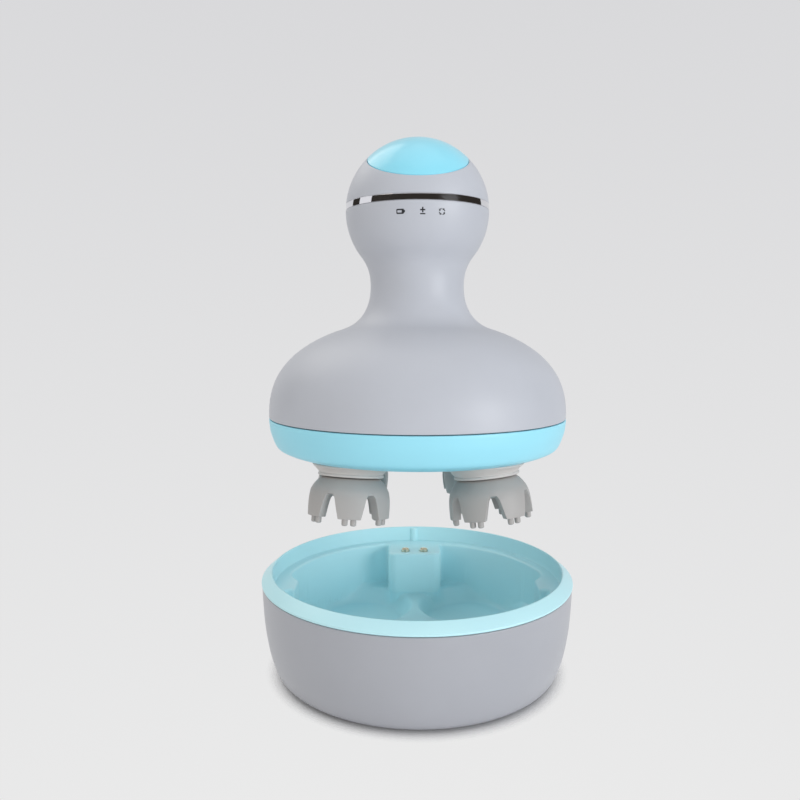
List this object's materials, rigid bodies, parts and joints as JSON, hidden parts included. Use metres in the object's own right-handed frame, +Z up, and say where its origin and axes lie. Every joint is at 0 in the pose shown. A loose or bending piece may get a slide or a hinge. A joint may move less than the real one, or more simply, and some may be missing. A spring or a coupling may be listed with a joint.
{
  "type": "electric scalp massager",
  "caption": "Handheld electric scalp massager with rotating claw heads, a rounded grip with a button on top, and a round charging dock.",
  "frame": {"origin": "centre of the dock's footprint on the table", "axes": "+Z up along the axis of dock and handset; the front with the printed symbols faces -Y; the charging inlet is at +Y; +X is right when seen from the front"},
  "size_m": [0.1068, 0.1068, 0.1798],
  "materials": {
    "grey_plastic": "fine satin, pale warm grey",
    "dark_plastic": "fine matt",
    "blue_plastic": "soft satin, sky blue",
    "chrome": "polished",
    "foot_rubber": "matt",
    "seal_teal": "matt",
    "steel": "satin",
    "board": "solder mask",
    "gold": "gold plated",
    "gear_plastic": "moulded acetal",
    "battery_can": "wrapped cell",
    "hub_plastic": "satin",
    "claw_rubber": "soft matt silicone"
  },
  "bodies": {
    "dock": {"dock_shell": "grey_plastic", "dock_liner": "blue_plastic", "dock_base_plate": "dark_plastic", "dock_foot_1": "foot_rubber", "dock_foot_2": "foot_rubber", "dock_foot_3": "foot_rubber", "dock_foot_4": "foot_rubber", "dock_screw_1": "steel", "dock_screw_2": "steel", "dock_screw_3": "steel", "dock_circuit_board": "board", "dock_usb_socket": "steel", "pogo_holder": "dark_plastic", "pogo_sleeve_left": "gold", "pogo_sleeve_right": "gold"},
    "pogo_pin_left": {"pogo_pin_left": "gold"},
    "pogo_pin_right": {"pogo_pin_right": "gold"},
    "handset": {"main_shell": "grey_plastic", "upper_shell": "grey_plastic", "trim_ring": "chrome", "button_guide": "dark_plastic", "main_board": "board", "tact_switch": "dark_plastic", "base_housing": "blue_plastic", "housing_gasket": "seal_teal", "charge_pad_left": "gold", "charge_pad_right": "gold", "gear_plate": "gear_plastic", "plate_screw_1": "steel", "plate_screw_2": "steel", "plate_screw_3": "steel", "motor": "steel", "centre_axle": "steel", "battery_cradle": "dark_plastic", "battery": "battery_can", "shaft_seal_front_left": "foot_rubber", "shaft_seal_front_right": "foot_rubber", "shaft_seal_rear_left": "foot_rubber", "shaft_seal_rear_right": "foot_rubber"},
    "power_button": {"power_button": "blue_plastic"},
    "motor_pinion": {"motor_pinion": "gear_plastic"},
    "centre_gear": {"centre_gear": "gear_plastic"},
    "head_front_left": {"output_gear_front_left": "gear_plastic", "spindle_front_left": "steel", "hub_front_left": "hub_plastic", "claw_front_left": "claw_rubber"},
    "head_front_right": {"output_gear_front_right": "gear_plastic", "spindle_front_right": "steel", "hub_front_right": "hub_plastic", "claw_front_right": "claw_rubber"},
    "head_rear_left": {"output_gear_rear_left": "gear_plastic", "spindle_rear_left": "steel", "hub_rear_left": "hub_plastic", "claw_rear_left": "claw_rubber"},
    "head_rear_right": {"output_gear_rear_right": "gear_plastic", "spindle_rear_right": "steel", "hub_rear_right": "hub_plastic", "claw_rear_right": "claw_rubber"}
  },
  "joints": [
    {"name": "handset_lift", "type": "slide", "parent": "dock", "child": "handset", "axis": [0, 0, 1], "range_m": [-0.0468, 0]},
    {"name": "pogo_pin_left_press", "type": "slide", "parent": "dock", "child": "pogo_pin_left", "axis": [0, 0, 1], "range_m": [-0.001, 0], "stiffness_N_per_m": 300},
    {"name": "pogo_pin_right_press", "type": "slide", "parent": "dock", "child": "pogo_pin_right", "axis": [0, 0, 1], "range_m": [-0.001, 0], "stiffness_N_per_m": 300},
    {"name": "power_button_press", "type": "slide", "parent": "handset", "child": "power_button", "axis": [0, -0.4695, 0.8829], "range_m": [-0.0008, 0], "stiffness_N_per_m": 1500},
    {"name": "centre_gear_spin", "type": "hinge", "parent": "handset", "child": "centre_gear", "pos_m": [0, 0, 0.082], "axis": [0, 0, 1], "continuous": true},
    {"name": "motor_pinion_spin", "type": "hinge", "parent": "handset", "child": "motor_pinion", "pos_m": [0, 0.0208, 0.086], "axis": [0, 0, 1], "continuous": true},
    {"name": "head_front_left_spin", "type": "hinge", "parent": "handset", "child": "head_front_left", "pos_m": [-0.021, -0.021, 0.07585], "axis": [0, 0, 1], "continuous": true},
    {"name": "head_front_right_spin", "type": "hinge", "parent": "handset", "child": "head_front_right", "pos_m": [0.021, -0.021, 0.07585], "axis": [0, 0, 1], "continuous": true},
    {"name": "head_rear_left_spin", "type": "hinge", "parent": "handset", "child": "head_rear_left", "pos_m": [-0.021, 0.021, 0.07585], "axis": [0, 0, 1], "continuous": true},
    {"name": "head_rear_right_spin", "type": "hinge", "parent": "handset", "child": "head_rear_right", "pos_m": [0.021, 0.021, 0.07585], "axis": [0, 0, 1], "continuous": true}
  ],
  "couplings": [
    {"joint": "motor_pinion_spin", "follows": "centre_gear_spin", "ratio": -3},
    {"joint": "head_front_left_spin", "follows": "centre_gear_spin", "ratio": -1.25},
    {"joint": "head_front_right_spin", "follows": "centre_gear_spin", "ratio": -1.25},
    {"joint": "head_rear_left_spin", "follows": "centre_gear_spin", "ratio": -1.25},
    {"joint": "head_rear_right_spin", "follows": "centre_gear_spin", "ratio": -1.25}
  ]
}
